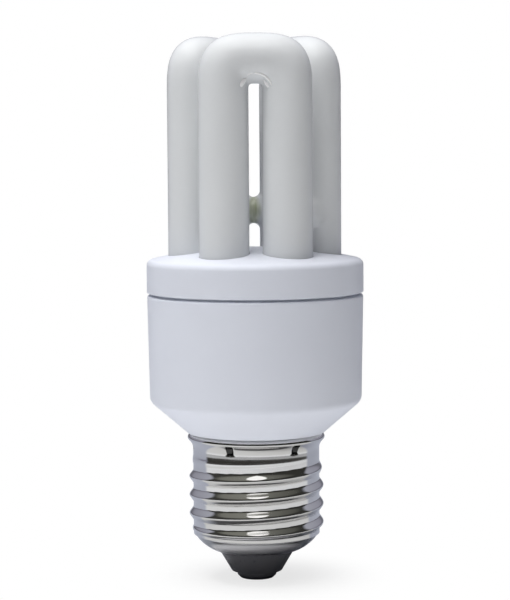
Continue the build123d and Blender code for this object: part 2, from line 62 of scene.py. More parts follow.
# %% Heights along the lamp's axis
shell_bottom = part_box("screw_shell")[0].z
cap_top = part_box("screw_shell")[1].z
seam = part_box("lower_housing")[1].z
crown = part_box("tube_holder")[1].z
leg_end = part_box("discharge_tube")[0].z
glass_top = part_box("discharge_tube")[1].z
insulator_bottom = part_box("cap_insulator")[0].z
print("seam, crown and glass top in mm:", [round(z / mm, 2) for z in (seam, crown, glass_top)])

# %% [markdown]
# Node trees are wired many times in this lesson. A few small helpers do it: they add a node, make a node
# group with named inputs and outputs, add a step of arithmetic, give the commonest steps short names for
# one tree, so that a long rule reads like a formula, and spread one range of values over another.

# %% Helpers for node trees
def plug(tree, socket, value):
    if isinstance(value, bpy.types.NodeSocket):
        tree.links.new(value, socket)
    else:
        socket.default_value = value


def plug_all(tree, node, inputs):
    for name, value in inputs.items():
        plug(tree, node.inputs[name], value)


def add(tree, kind, inputs=None, **settings):
    node = tree.nodes.new(kind)
    for name, value in settings.items():
        setattr(node, name, value)
    plug_all(tree, node, inputs or {})
    return node


def new_group(name, kind, inputs, outputs):
    group = bpy.data.node_groups.new(name, kind)
    for label, socket in inputs.items():
        group.interface.new_socket(label, in_out="INPUT", socket_type=socket)
    for label, socket in outputs.items():
        group.interface.new_socket(label, in_out="OUTPUT", socket_type=socket)
    return group, group.nodes.new("NodeGroupInput").outputs, group.nodes.new("NodeGroupOutput").inputs


def sum_of(tree, operation, *values):
    return add(tree, "ShaderNodeMath", dict(enumerate(values)), operation=operation).outputs[0]


def arithmetic(tree, *operations):
    def rule(operation):
        return lambda *values: sum_of(tree, operation, *values)
    return [rule(operation) for operation in operations]


def spread(tree, value, low, high, to_low=0.0, to_high=1.0, smooth=False):
    kind = "SMOOTHSTEP" if smooth else "LINEAR"
    inputs = dict(enumerate((value, low, high, to_low, to_high)))
    return add(tree, "ShaderNodeMapRange", inputs, interpolation_type=kind).outputs[0]


def object_place(tree):
    return add(tree, "ShaderNodeTexCoord").outputs["Object"]


def tell(tree, made):
    print(made, "is wired:", len(tree.nodes), "nodes so far")


# %% [markdown]
# Two effects are used by many finishes, so each is a node group. The first is surface grain: a fine
# speckle and slow soft clouds, both read from Object coordinates so they stay on the piece.
# The second is lines that run round the axis, as drawing, spinning or winding leaves them.

# %% Surface grain and turned lines as node groups
float_socket = "NodeSocketFloat"
grain_group, grain_in, grain_out = new_group(
    "surface_grain", "ShaderNodeTree",
    {"Grain Size": float_socket, "Cloud Size": float_socket},
    {"Grain": float_socket, "Clouds": float_socket},
)
place = object_place(grain_group)
for size_name, out_name, detail in (("Grain Size", "Grain", 2.0), ("Cloud Size", "Clouds", 3.0)):
    scale = sum_of(grain_group, "DIVIDE", 1.0, grain_in[size_name])
    noise = add(grain_group, "ShaderNodeTexNoise", {"Vector": place, "Scale": scale, "Detail": detail})
    plug(grain_group, grain_out[out_name], noise.outputs["Fac"])

lines_group, lines_in, lines_out = new_group(
    "turned_lines", "ShaderNodeTree", {"Spacing": float_socket}, {"Lines": float_socket},
)
height = add(lines_group, "ShaderNodeSeparateXYZ", {"Vector": object_place(lines_group)}).outputs["Z"]
step = sum_of(lines_group, "DIVIDE", height, lines_in["Spacing"])
noise = add(
    lines_group, "ShaderNodeTexNoise", {"W": step, "Scale": 1.0, "Detail": 2.0}, noise_dimensions="1D")
plug(lines_group, lines_out["Lines"], noise.outputs["Fac"])
print("groups:", grain_group.name, lines_group.name)

# %% [markdown]
# A finish is a material that has the grain in it. Its helpers add turned lines, blend two colours, grade a
# value by the usual range of the noise, raise a bump, and make a colour lighter or darker.

# %% Helpers for finishes
noise_low = 0.3
noise_high = 0.7


def new_finish(name, grain_size, cloud_size):
    material = bpy.data.materials.new(name)
    material.use_nodes = True
    tree = material.node_tree
    sizes = {"Grain Size": grain_size, "Cloud Size": cloud_size}
    grain = add(tree, "ShaderNodeGroup", sizes, node_tree=grain_group).outputs
    print("finish:", name)
    return material, tree, tree.nodes["Principled BSDF"], grain


def turned_lines(tree, spacing):
    return add(tree, "ShaderNodeGroup", {"Spacing": spacing}, node_tree=lines_group).outputs["Lines"]


def blend_colours(tree, factor, first, second):
    return add(tree, "ShaderNodeMix", {0: factor, 6: first, 7: second}, data_type="RGBA").outputs[2]


def graded(tree, noise, low, high):
    return spread(tree, noise, noise_low, noise_high, low, high)


def bump(tree, shader, height, depth):
    node = add(tree, "ShaderNodeBump", {"Height": height, "Distance": depth, "Strength": 1.0})
    plug(tree, shader.inputs["Normal"], node.outputs["Normal"])


def tone(colour, share):
    return tuple(min(1.0, channel * share) for channel in colour[:3]) + (1.0,)


# %% [markdown]
# The glass is clear outside and coated inside with a chalky white powder, so it looks like glazed
# porcelain: a pale body under a thin gloss. Real transmission would only show the inside of a sealed
# vessel, so the body is opaque and the gloss is a coat. Where the rear bridge fuses two tubes together the
# powder is burnt thin and the greenish glass shows, in streaks. Where a tube is bent tightest the glass has
# folded into small creases that are clear and very glossy; their pure white colour is a painted highlight
# that stands in for their glints. The mesh carries both places as attributes.

# %% Finish of the coated glass
chalk = (0.775, 0.79, 0.80, 1.0)
# Painted highlight: the creases get a pure white base colour in place of their glints.
crease_painted_glint = (1.0, 1.0, 1.0, 1.0)
fused_dark = (0.40, 0.43, 0.28, 1.0)
fused_light = (0.62, 0.64, 0.52, 1.0)
streak_width = 0.9 * mm
streak_stretch = 0.12
coated_glass, tree, shader, grain = new_finish("coated_glass", grain_size=0.5 * mm, cloud_size=14 * mm)
powder = blend_colours(tree, grain["Clouds"], tone(chalk, 0.98), tone(chalk, 1.015))
along_leg = add(tree, "ShaderNodeMapping", {
    "Vector": object_place(tree), "Scale": (1.0, 1.0, streak_stretch)})
streaks = add(tree, "ShaderNodeTexNoise", {
    "Vector": along_leg.outputs[0], "Scale": 1.0 / streak_width, "Detail": 1.0}).outputs["Fac"]
burnt = blend_colours(tree, spread(tree, streaks, 0.35, 0.65), fused_dark, fused_light)
fused = add(tree, "ShaderNodeAttribute", attribute_name="fused").outputs["Fac"]
crease = add(tree, "ShaderNodeAttribute", attribute_name="crease").outputs["Fac"]
body_colour = blend_colours(tree, fused, powder, burnt)
plug_all(tree, shader, {
    "Base Color": blend_colours(tree, crease, body_colour, crease_painted_glint),
    "Roughness": graded(tree, grain["Grain"], 0.34, 0.40), "IOR": 1.5,
    "Coat Weight": spread(tree, crease, 0.0, 1.0, 0.7, 1.0), "Coat Roughness": 0.08, "Coat IOR": 1.5})
bump(tree, shader, grain["Grain"], 0.002 * mm)

# %% [markdown]
# The housing and the tube holder are moulded from one white plastic with a cool tint. Polished mould
# steel leaves it smooth, with a grain too fine to see singly that only softens the highlights.

# %% Finish of the white plastic
white = (0.775, 0.80, 0.875, 1.0)
white_plastic, tree, shader, grain = new_finish("white_plastic", grain_size=0.16 * mm, cloud_size=9 * mm)
plug_all(tree, shader, {
    "Base Color": blend_colours(tree, grain["Clouds"], tone(white, 0.975), tone(white, 1.015)),
    "Roughness": graded(tree, grain["Grain"], 0.34, 0.46), "IOR": 1.5})
bump(tree, shader, grain["Grain"], 0.004 * mm)

# %% [markdown]
# The cap is brass sheet, rolled into its thread and plated with bright nickel, a nearly neutral mirror.
# Rolling leaves faint lines round the axis and handling leaves soft dull patches, and both
# change the roughness far more than the colour. The staking dents are painted nearly black inside, a painted
# shade for the deep punched hollows.

# %% Finish of the plated shell
nickel = (0.74, 0.735, 0.73, 1.0)
plated_shell, tree, shader, grain = new_finish("plated_shell", grain_size=0.3 * mm, cloud_size=4 * mm)
lines = turned_lines(tree, spacing=0.12 * mm)
bright = blend_colours(tree, grain["Clouds"], tone(nickel, 0.96), tone(nickel, 1.04))
punched = add(tree, "ShaderNodeAttribute", attribute_name="dent").outputs["Fac"]
# Painted shade: the base colour goes nearly black inside the punched dents.
dent_painted_shade = spread(tree, punched, 0.01, 0.18, smooth=True)
rolling_lines = graded(tree, lines, 0.0, 0.03)
dull_patches = spread(tree, grain["Clouds"], 0.35, 0.75, 0.03, 0.09)
plug_all(tree, shader, {
    "Base Color": blend_colours(tree, dent_painted_shade, bright, tone(nickel, 0.08)),
    "Roughness": sum_of(tree, "ADD", rolling_lines, dull_patches), "Metallic": 1.0})
bump(tree, shader, lines, 0.0006 * mm)

# %% [markdown]
# The end of the cap is black fused glass, poured and pressed, so it is glossy but pitted. The contact
# in its middle is a dark grey metal. These two and every piece inside the housing share one recipe:
# two tones of a base colour, a roughness that follows the grain, and a bump of the grain's own size.
# The base colours come with the CAD nodes, and a recipe may lift one that renders too dark.

# %% Finishes of the small and hidden pieces
def grained_finish(
        name, colour, roughness, metallic=0.0, grain_size=0.25 * mm, depth=0.01 * mm, lined=None, lift=1.0):
    material, tree, shader, grain = new_finish(name, grain_size, cloud_size=12 * grain_size)
    dark, light = tone(colour, 0.82 * lift), tone(colour, 1.15 * lift)
    plug_all(tree, shader, {
        "Base Color": blend_colours(tree, grain["Clouds"], dark, light), "Metallic": metallic,
        "Roughness": graded(tree, grain["Grain"], roughness - 0.07, roughness + 0.07)})
    relief = turned_lines(tree, spacing=lined) if lined else grain["Grain"]
    bump(tree, shader, relief, depth)
    return material


recipes = {
    "black_glass": {"roughness": 0.34, "lift": 2.2, "grain_size": 0.4 * mm, "depth": 0.02 * mm},
    "contact_metal": {"roughness": 0.42, "metallic": 1.0},
    "solder": {"roughness": 0.38, "metallic": 1.0, "grain_size": 0.5 * mm},
    "cement": {"roughness": 0.85, "grain_size": 0.3 * mm, "depth": 0.06 * mm},
    "board": {"roughness": 0.6, "grain_size": 0.5 * mm},
    "ferrite": {"roughness": 0.65, "grain_size": 0.15 * mm},
    "bobbin": {"roughness": 0.5},
    "enamelled_wire": {"roughness": 0.3, "metallic": 0.8, "depth": 0.08 * mm, "lined": 0.22 * mm},
    "tinned_wire": {"roughness": 0.32, "metallic": 1.0},
    "capacitor_sleeve": {"roughness": 0.3, "grain_size": 0.6 * mm},
    "dipped_coat": {"roughness": 0.25, "grain_size": 0.8 * mm, "depth": 0.04 * mm},
    "black_epoxy": {"roughness": 0.55, "grain_size": 0.12 * mm},
    "diac_glass": {"roughness": 0.15, "grain_size": 0.5 * mm},
    "resistor_coat": {"roughness": 0.45, "grain_size": 0.3 * mm},
    "thermistor_coat": {"roughness": 0.5, "grain_size": 0.3 * mm},
    "live_sleeve": {"roughness": 0.45},
    "neutral_sleeve": {"roughness": 0.45},
}
finishes = {"coated_glass": coated_glass, "white_plastic": white_plastic, "plated_shell": plated_shell}
for entry in frame["record"]["materials"]:
    slot_name = entry["slot"]
    if slot_name in recipes:
        finishes[slot_name] = grained_finish(slot_name, entry["base_color"], **recipes[slot_name])
node_slots = {row["node"]: row["material_slot"] for row in frame["record"]["subparts"]}
for name, node in frame["nodes"].items():
    for material_slot in node.material_slots:
        material_slot.material = finishes[node_slots[name]]
print("finishes:", len(finishes), "on", len(frame["nodes"]), "nodes")

# %% [markdown]
# Most pieces of the lamp are turned round its axis. A turned piece is an outline of radius and height,
# with a round at some corners, spun into rings of points that are skinned with four-sided faces. Writing
# the outline in code keeps every round and step a named size, where the Spin tool would need clicking.
# A finished piece is seated in the frame: it is attached to the root and takes the place of one CAD node,
# which is hidden.

# %% Helpers for turned and skinned pieces
def skin(body, first, second):
    count = max(len(first), len(second))
    if count == 1:
        return
    for k in range(count):
        low_edge = [first[k % len(first)], first[(k + 1) % len(first)]]
        high_edge = [second[(k + 1) % len(second)], second[k % len(second)]]
        body.faces.new(list(dict.fromkeys(low_edge + high_edge)))


def skin_row(body, rings):
    for first, second in zip(rings, rings[1:]):
        skin(body, first, second)


def round_corners(corners, steps=8):
    outline = []
    for index, (radius, height, fillet) in enumerate(corners):
        here = Vector((radius, height))
        if fillet == 0:
            outline.append(here)
            continue
        before = (Vector(corners[index - 1][:2]) - here).normalized()
        after = (Vector(corners[(index + 1) % len(corners)][:2]) - here).normalized()
        half = before.angle(after) / 2
        centre = here + (before + after).normalized() * (fillet / math.sin(half))
        start = here + before * (fillet / math.tan(half)) - centre
        end = here + after * (fillet / math.tan(half)) - centre
        outline += [centre + start.lerp(end, k / steps).normalized() * fillet for k in range(steps + 1)]
    return outline


def angles_round(count):
    return [math.tau * k / count for k in range(count)]


def turned_ring(body, radius, height, turns):
    if radius < 1e-7:
        return [body.verts.new((0, 0, height))]
    spots = [(radius * math.cos(a), radius * math.sin(a), height) for a in angles_round(turns)]
    return [body.verts.new(spot) for spot in spots]


def lathe(corners, turns=256):
    body = bmesh.new()
    rings = [turned_ring(body, point.x, point.y, turns) for point in round_corners(corners)]
    skin_row(body, rings + rings[:1])
    bmesh.ops.recalc_face_normals(body, faces=body.faces)
    return body


# %% Helpers that finish a piece and seat it in the frame
def smooth(mesh, angle=32):
    mesh.polygons.foreach_set("use_smooth", [True] * len(mesh.polygons))
    mesh.set_sharp_from_angle(angle=math.radians(angle))


def link(thing):
    bpy.context.scene.collection.objects.link(thing)


def new_piece(name, body, material):
    mesh = bpy.data.meshes.new(name)
    body.to_mesh(mesh)
    body.free()
    mesh.materials.append(material)
    smooth(mesh)
    piece = bpy.data.objects.new(name, mesh)
    link(piece)
    return piece


def seat(piece, node):
    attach(piece, "root")
    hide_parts(node)
    faces = piece.data.polygons
    print(piece.name, "has", sum(len(face.vertices) - 2 for face in faces), "triangles")


# %% [markdown]
# The lower housing is a cup with a cone below it and a spigot that goes into the cap. Its corner under
# the wall is well rounded, and its rim has a small round that catches a thin line of light at the seam.

# %% Lower housing
side_radius = 20.95 * mm
side_draft = 0.38 * mm
housing_wall = 1.55 * mm
cone_bottom_radius = 13.4 * mm
cone_height = 6.2 * mm
spigot_radius = 11.9 * mm
spigot_length = 4.4 * mm
spigot_wall = 1.4 * mm
cone_round = 2.0 * mm
rim_round = 0.45 * mm
cone_top = cap_top + cone_height
cone_run = side_radius - side_draft - cone_bottom_radius
cone_wall = housing_wall * math.hypot(cone_run, cone_height) / cone_run
bore = spigot_radius - spigot_wall
inner_radius = side_radius - side_draft - housing_wall


def inner_cone(radius):
    return cap_top + cone_wall + (radius - cone_bottom_radius) * cone_height / cone_run


housing_outline = [
    (bore, cap_top - spigot_length, 0),
    (spigot_radius, cap_top - spigot_length, 0.2 * mm),
    (spigot_radius, cap_top, 0),
    (cone_bottom_radius, cap_top, 0.12 * mm),
    (side_radius - side_draft, cone_top, cone_round),
    (side_radius, seam, rim_round),
    (side_radius - housing_wall, seam, 0.1 * mm),
    (inner_radius, inner_cone(inner_radius), 0.5 * mm),
    (bore, inner_cone(bore), 0.3 * mm),
]
housing = new_piece("moulded_housing", lathe(housing_outline), white_plastic)
print("housing outline:", len(housing_outline), "corners")

# %% [markdown]
# The tube holder closes the housing. Its top is a very shallow dome that rolls over into the side, and
# its lower edge stops just short of the housing, which leaves the dark seam line. Inside, a collar goes
# down into the housing.

# %% Tube holder before its holes
holder_radius = 21.0 * mm
holder_crown = 2.4 * mm
holder_corner = 1.3 * mm
holder_wall = 1.75 * mm
holder_plate = 3.2 * mm
seam_gap = 0.48 * mm
seam_depth = 1.2 * mm
collar_radius = 19.3 * mm
collar_inner = 17.95 * mm
collar_depth = 3.0 * mm
collar_rise = 2.9 * mm
dome_radius = (holder_radius ** 2 + holder_crown ** 2) / (2 * holder_crown)
dome_steps = 20


def dome_level(radius):
    return crown - dome_radius + math.sqrt(dome_radius ** 2 - radius ** 2)


dome_edge = holder_radius - holder_corner - 0.3 * mm
dome_radii = [dome_edge * k / dome_steps for k in range(dome_steps + 1)]
dome = [(radius, dome_level(radius), 0) for radius in dome_radii]
skirt = [
    (holder_radius, crown - holder_crown, holder_corner),
    (holder_radius, seam + seam_gap, 0.15 * mm),
    (holder_radius - seam_depth, seam + seam_gap, 0),
    (holder_radius - seam_depth, seam, 0),
    (collar_radius, seam, 0),
    (collar_radius, seam - collar_depth, 0.2 * mm),
    (collar_inner, seam - collar_depth, 0),
    (collar_inner, seam + collar_rise, 0),
    (holder_radius - holder_wall, seam + collar_rise, 0),
    (holder_radius - holder_wall, crown - holder_plate, 0),
    (0, crown - holder_plate, 0),
]
holder = new_piece("moulded_tube_holder", lathe(dome + skirt), white_plastic)
print("holder outline:", len(dome + skirt), "corners")

# %% [markdown]
# Six holes in the holder take the glass legs. They repeat round a circle, so Geometry Nodes place six round
# cutters and take them away. The result is turned into a plain mesh and the modifier is removed, because the
# finished piece has to carry its own shape.

# %% From a tree to a plain mesh
def hand_over(tree, outlet, geometry, material):
    real = add(tree, "GeometryNodeRealizeInstances", {"Geometry": geometry}).outputs[0]
    dressed = add(tree, "GeometryNodeSetMaterial", {"Geometry": real, "Material": material})
    plug(tree, outlet["Geometry"], dressed.outputs[0])
    tell(tree, tree.name)


def grow(piece, tree, sizes):
    modifier = piece.modifiers.new("rule", "NODES")
    modifier.node_group = tree
    for item in tree.interface.items_tree:
        if item.in_out == "INPUT" and item.name in sizes:
            modifier[item.identifier] = sizes[item.name]
    depsgraph = bpy.context.evaluated_depsgraph_get()
    depsgraph.update()
    mesh = bpy.data.meshes.new_from_object(piece.evaluated_get(depsgraph), depsgraph=depsgraph)
    piece.modifiers.remove(modifier)
    piece.data = mesh


# %% A ring of holes, as nodes
geometry_socket = "NodeSocketGeometry"
hole_sizes = ("Turn", "Pitch Radius", "Hole Radius", "Depth", "Level")
holes_tree, holes_in, holes_out = new_group(
    "ring_of_holes", "GeometryNodeTree",
    {"Geometry": geometry_socket, "Count": "NodeSocketInt", **dict.fromkeys(hole_sizes, float_socket)},
    {"Geometry": geometry_socket},
)
circle = add(holes_tree, "GeometryNodeMeshCircle", {
    "Vertices": holes_in["Count"], "Radius": holes_in["Pitch Radius"]})
cutter = add(holes_tree, "GeometryNodeMeshCylinder", {
    "Vertices": 128, "Radius": holes_in["Hole Radius"], "Depth": holes_in["Depth"]})
level = add(holes_tree, "ShaderNodeCombineXYZ", {"Z": holes_in["Level"]}).outputs[0]
spot = add(holes_tree, "GeometryNodeInputPosition").outputs["Position"]
turned_spot = add(
    holes_tree, "ShaderNodeVectorRotate", {"Vector": spot, "Angle": holes_in["Turn"]}, rotation_type="Z_AXIS")
raised = add(holes_tree, "GeometryNodeSetPosition", {
    "Geometry": circle.outputs["Mesh"], "Position": turned_spot.outputs[0], "Offset": level})
cutters = add(holes_tree, "GeometryNodeInstanceOnPoints", {
    "Points": raised.outputs["Geometry"], "Instance": cutter.outputs["Mesh"]})
solid_cutters = add(holes_tree, "GeometryNodeRealizeInstances", {"Geometry": cutters.outputs["Instances"]})
drill = add(
    holes_tree, "GeometryNodeMeshBoolean", {"Mesh 1": holes_in["Geometry"]},
    operation="DIFFERENCE", solver="EXACT")
plug(holes_tree, drill.inputs["Mesh 2"], solid_cutters.outputs["Geometry"])
hand_over(holes_tree, holes_out, drill.outputs["Mesh"], white_plastic)

# %% Six leg holes in the holder
leg_pitch = 12.0 * mm
tube_radius = 4.75 * mm
glass_fit = 0.1 * mm
leg_count = 6
cutter_length = 20 * mm
grow(holder, holes_tree, {
    "Count": leg_count, "Turn": 0.0, "Pitch Radius": leg_pitch, "Hole Radius": tube_radius + glass_fit,
    "Depth": cutter_length, "Level": crown - holder_plate})
smooth(holder.data)
seat(holder, "tube_holder")

# %% [markdown]
# The cap is locked to the housing by six dents, which are punched into the sheet and push it into the
# spigot. The same ring of cutters takes their recesses out of the spigot, so that no plastic shows through.

# %% Recesses in the housing behind the staking dents
lip_low = cap_top - 1.3 * mm
flare_low = lip_low - 1.1 * mm
neck_radius = 12.3 * mm
sheet_thickness = 0.35 * mm
dent_count = 6
dent_turn = math.radians(305)
dent_level = flare_low + 0.1 * mm
dent_length = 1.5 * mm
dent_depth = 0.45 * mm
recess_radius = 0.7 * mm
recess_fit = 0.1 * mm
recess_length = dent_length + 0.8 * mm
grow(housing, holes_tree, {
    "Count": dent_count, "Turn": dent_turn, "Pitch Radius": neck_radius + recess_radius - dent_depth,
    "Hole Radius": recess_radius + sheet_thickness + recess_fit, "Depth": recess_length, "Level": dent_level})
smooth(housing.data)
seat(housing, "lower_housing")

# %% [markdown]
# The screw shell is the piece whose shape follows a rule. Cut square to the axis, a rolled knuckle thread
# is a circle that sits off centre, and the centre winds round as the cut climbs. So Geometry Nodes take
# a flat grid, read across as the angle and up as the height, and roll it up with a radius worked out for
# each point: an arc for the shoulder, the winding circle for the thread, then a short neck that flares out
# to a rounded lip. Rolling leaves the flanks of the thread a little straighter than the circle alone, which
# the Flank input sets. Six staking dents are punched into the neck, and the depth of the punch is kept as an
# attribute. A Screw modifier could sweep a thread, but it couldn't fade it out at both ends.

# %% Sizes of the rolled shell
thread_top = flare_low - 1.4 * mm
shoulder_height = 3.4 * mm
shell_sizes = {
    "Bottom": shell_bottom, "Top": cap_top,
    "Thread Bottom": shell_bottom + shoulder_height, "Thread Top": thread_top,
    "Pitch": 3.629 * mm, "Start Angle": math.radians(222), "Flank": 0.9,
    "Crest Radius": 13.1 * mm, "Root Radius": 12.05 * mm,
    "Run In": 1.8 * mm, "Run Out": 5.0 * mm,
    "Neck Radius": neck_radius, "Flare Bottom": flare_low - 0.8 * mm,
    "Lip Bottom": lip_low, "Lip Middle": lip_low + 0.3 * mm,
    "Lip Radius": 13.35 * mm, "Lip Round": 0.6 * mm,
    "Shoulder Radius": 7.3 * mm, "Shoulder Bulge": 0.55 * mm,
    "Dent Angle": dent_turn, "Dent Height": dent_level, "Dent Length": dent_length + 0.5 * mm,
    "Dent Radius": 0.58 * mm, "Dent Depth": dent_depth, "Dent Edge": 0.45 * mm,
}
shell_counts = {"Columns": 289, "Rows": 169, "Dents": dent_count}
shell_tree, size, shell_out = new_group(
    "rolled_screw_shell", "GeometryNodeTree",
    {**dict.fromkeys(shell_sizes, float_socket), **dict.fromkeys(shell_counts, "NodeSocketInt")},
    {"Geometry": geometry_socket},
)
print("shell sizes and counts:", len(shell_sizes), len(shell_counts))

# %% Short names for the shell's rules
sums = ("ADD", "SUBTRACT", "MULTIPLY", "DIVIDE", "POWER", "SQRT")
plus, minus, times, over, power, root = arithmetic(shell_tree, *sums)
sine, cosine, arcsine = arithmetic(shell_tree, "SINE", "COSINE", "ARCSINE")
larger, exceeds = arithmetic(shell_tree, "MAXIMUM", "GREATER_THAN")


def ease(value, low, high, to_low=0.0, to_high=1.0):
    return spread(shell_tree, value, low, high, to_low, to_high, smooth=True)


def choose(chosen, otherwise, value):
    node = add(shell_tree, "ShaderNodeMix", {0: chosen, 2: otherwise, 3: value}, data_type="FLOAT")
    return node.outputs[0]


# %% The flat sheet
sheet_grid = add(shell_tree, "GeometryNodeMeshGrid", {
    "Size X": 1.0, "Size Y": 1.0, "Vertices X": size["Columns"], "Vertices Y": size["Rows"]})
flat_place = add(shell_tree, "GeometryNodeInputPosition").outputs["Position"]
flat_axes = add(shell_tree, "ShaderNodeSeparateXYZ", {"Vector": flat_place}).outputs
angle = times(plus(flat_axes["X"], 0.5), math.tau)
height = spread(shell_tree, flat_axes["Y"], -0.5, 0.5, size["Bottom"], size["Top"])
tell(shell_tree, "flat sheet")

# %% Winding thread
above = minus(height, size["Thread Bottom"])
below = minus(size["Thread Top"], height)
base = ease(below, 0.0, size["Run Out"], size["Neck Radius"], size["Root Radius"])
fade_in = ease(above, 0.0, size["Run In"])
fade_out = ease(below, 0.0, size["Run Out"])
throw = times(times(minus(size["Crest Radius"], base), 0.5), times(fade_in, fade_out))
half_thread = times(minus(size["Thread Top"], size["Thread Bottom"]), 0.5)
turns = over(minus(above, half_thread), size["Pitch"])
lead = minus(angle, plus(times(turns, math.tau), size["Start Angle"]))
straight = arcsine(times(cosine(lead), size["Flank"]))
ahead = times(throw, over(straight, arcsine(size["Flank"])))
aside = times(throw, sine(lead))
thread_radius = plus(ahead, root(minus(power(plus(base, throw), 2.0), power(aside, 2.0))))
tell(shell_tree, "thread")

# %% Neck, flare and lip
def lip_radius_at(level):
    off = minus(level, size["Lip Middle"])
    return minus(size["Lip Radius"], over(power(off, 2.0), times(size["Lip Round"], 2.0)))


flare_climb = spread(shell_tree, height, size["Flare Bottom"], size["Lip Bottom"])
lip_foot = lip_radius_at(size["Lip Bottom"])
flare = spread(shell_tree, power(flare_climb, 2.0), 0.0, 1.0, size["Neck Radius"], lip_foot)
on_lip = exceeds(height, size["Lip Bottom"])
mouth = choose(on_lip, flare, lip_radius_at(height))
lipped = larger(thread_radius, mouth)
tell(shell_tree, "lip")

# %% Shoulder arc
bulge = size["Shoulder Bulge"]
half_run = times(minus(size["Root Radius"], size["Shoulder Radius"]), 0.5)
half_rise = times(minus(size["Thread Bottom"], size["Bottom"]), 0.5)
chord = root(plus(power(half_run, 2.0), power(half_rise, 2.0)))
arc_radius = over(plus(power(chord, 2.0), power(bulge, 2.0)), times(bulge, 2.0))
arc_back = over(minus(arc_radius, bulge), chord)
arc_x = minus(plus(size["Shoulder Radius"], half_run), times(half_rise, arc_back))
arc_z = plus(plus(size["Bottom"], half_rise), times(half_run, arc_back))
arc_reach = root(minus(power(arc_radius, 2.0), power(minus(height, arc_z), 2.0)))
on_shoulder = exceeds(0.0, above)
sheet_radius = choose(on_shoulder, lipped, plus(arc_x, arc_reach))
tell(shell_tree, "shoulder")

# %% Staking dents
dent_step = over(math.tau, size["Dents"])
dent_place = over(minus(angle, size["Dent Angle"]), dent_step)
dent_off = minus(dent_place, sum_of(shell_tree, "ROUND", dent_place))
dent_across = times(times(dent_off, dent_step), size["Neck Radius"])
dent_up = sum_of(shell_tree, "ABSOLUTE", minus(height, size["Dent Height"]))
punch_squared = minus(power(size["Dent Radius"], 2.0), times(dent_across, dent_across))
punch_face = root(larger(punch_squared, 0.0))
punch_middle = plus(size["Neck Radius"], minus(size["Dent Radius"], size["Dent Depth"]))
punch_sunk = minus(sheet_radius, minus(punch_middle, punch_face))
dent_half = times(size["Dent Length"], 0.5)
dent_ends = ease(dent_up, minus(dent_half, size["Dent Edge"]), dent_half, 1.0, 0.0)
under_punch = exceeds(punch_squared, 0.0)
sunk = sum_of(shell_tree, "MINIMUM", larger(punch_sunk, 0.0), size["Dent Depth"])
dent = times(sunk, times(dent_ends, under_punch))
tell(shell_tree, "ring of dents")

# %% Roll up the sheet and give it its thickness
rolled_radius = minus(sheet_radius, dent)
rolled_place = add(shell_tree, "ShaderNodeCombineXYZ", {
    "X": times(rolled_radius, cosine(angle)),
    "Y": times(rolled_radius, sine(angle)),
    "Z": height})
marked = add(
    shell_tree, "GeometryNodeStoreNamedAttribute",
    {"Geometry": sheet_grid.outputs["Mesh"], "Name": "dent", "Value": over(dent, size["Dent Depth"])},
    data_type="FLOAT", domain="POINT")
rolled = add(shell_tree, "GeometryNodeSetPosition", {
    "Geometry": marked.outputs["Geometry"], "Position": rolled_place.outputs[0]})
welded = add(shell_tree, "GeometryNodeMergeByDistance", {
    "Geometry": rolled.outputs["Geometry"], "Distance": 0.001 * mm})
hand_over(shell_tree, shell_out, welded.outputs["Geometry"], plated_shell)

shell = bpy.data.objects.new("rolled_screw_shell", bpy.data.meshes.new("rolled_screw_shell"))
link(shell)
grow(shell, shell_tree, {**shell_sizes, **shell_counts})
wall = shell.modifiers.new("sheet", "SOLIDIFY")
wall.thickness = sheet_thickness
wall.offset = -1.0
smooth(shell.data, angle=60)
seat(shell, "screw_shell")

# %% [markdown]
# The end of the cap: the black glass button is a cone that fills the shell's hole, the contact is a
# flat eyelet in its middle, and a drop of solder closes the eyelet. All three are turned pieces with
# rounds where glass has flowed and metal has been pressed.

# %% Insulator
def turn_piece(name, node, slot_name, turns, outline):
    seat(new_piece(name, lathe(outline, turns), finishes[slot_name]), node)


button_bore = 1.7 * mm
button_foot = 4.9 * mm
button_waist = 7.2 * mm
button_flange = 9.2 * mm
button_top = shell_bottom + 3.4 * mm
turn_piece("black_glass_button", "cap_insulator", "black_glass", 192, [
    (button_bore, insulator_bottom, 0),
    (button_foot, insulator_bottom, 0.3 * mm),
    (button_waist, shell_bottom - 0.1 * mm, 0.08 * mm),
    (button_waist, shell_bottom + 0.45 * mm, 0),
    (button_flange, shell_bottom + 1.85 * mm, 0.2 * mm),
    (button_flange, button_top, 0.2 * mm),
    (button_bore, button_top, 0),
])

# %% Contact and solder
eyelet_bore = 0.9 * mm
eyelet_face = 3.2 * mm
eyelet_radius = 3.8 * mm
eyelet_chamfer = 0.6 * mm
eyelet_round = 0.15 * mm
shank_radius = 1.6 * mm
shank_top = insulator_bottom + 2.6 * mm
turn_piece("contact_eyelet", "centre_contact", "contact_metal", 128, [
    (eyelet_bore, 0, eyelet_round),
    (eyelet_face, 0, eyelet_round),
    (eyelet_radius, eyelet_chamfer, eyelet_round),
    (eyelet_radius, insulator_bottom, 0),
    (shank_radius, insulator_bottom, 0),
    (shank_radius, shank_top, 0),
    (eyelet_bore, shank_top, 0),
])
solder_radius = 0.85 * mm
solder_top = 1.2 * mm
turn_piece("solder_drop", "contact_solder", "solder", 96, [
    (0, 0.06 * mm, 0),
    (0.45 * mm, 0.03 * mm, 0),
    (solder_radius, 0.12 * mm, 0.08 * mm),
    (solder_radius, solder_top, 0),
    (0, solder_top, 0),
])

# %% [markdown]
# The glass vessel is three tubes bent into a U, with rather square shoulders, and joined into one by two
# short bridges that were blown open while the glass was soft. Each U is a row of rings along its path.
# Between the legs the inner arch stays round while the outer one swells, so the rings in the bend are
# ellipses that reach from a small arch to a squared one. A leg ends round, or pressed flat round its wires.

